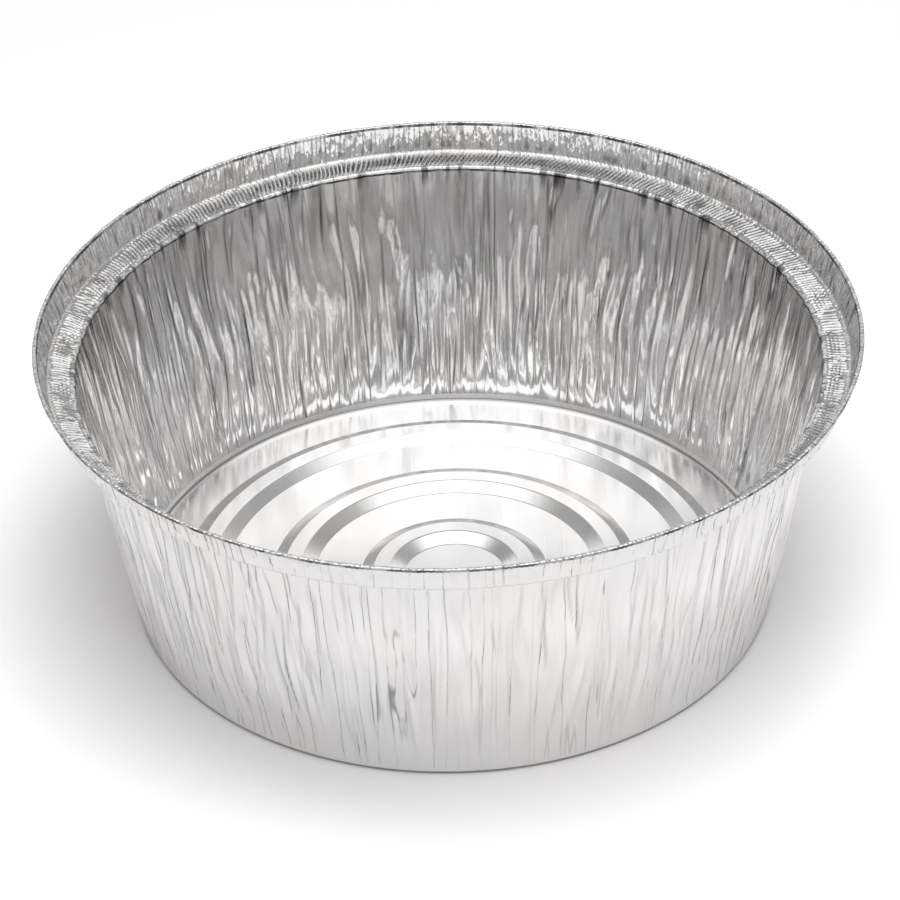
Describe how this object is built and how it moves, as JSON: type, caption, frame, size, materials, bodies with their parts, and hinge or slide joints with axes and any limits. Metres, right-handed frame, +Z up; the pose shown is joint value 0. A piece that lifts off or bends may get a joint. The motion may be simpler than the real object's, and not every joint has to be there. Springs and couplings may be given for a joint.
{
  "type": "foil food container",
  "caption": "Round deep foil tray with a pleated wall, a ledge for a lid under an upright band with a curled edge, and raised rings in its flat bottom.",
  "frame": {"origin": "middle of the underside of the flat bottom", "axes": "+Z up along the axis of the container, X and Y in the plane it rests on"},
  "size_m": [0.2144, 0.2143, 0.0799],
  "materials": {
    "foil": "bright rolled foil with fine irregular folds"
  },
  "bodies": {
    "root": {"foil_container": "foil"}
  },
  "joints": []
}
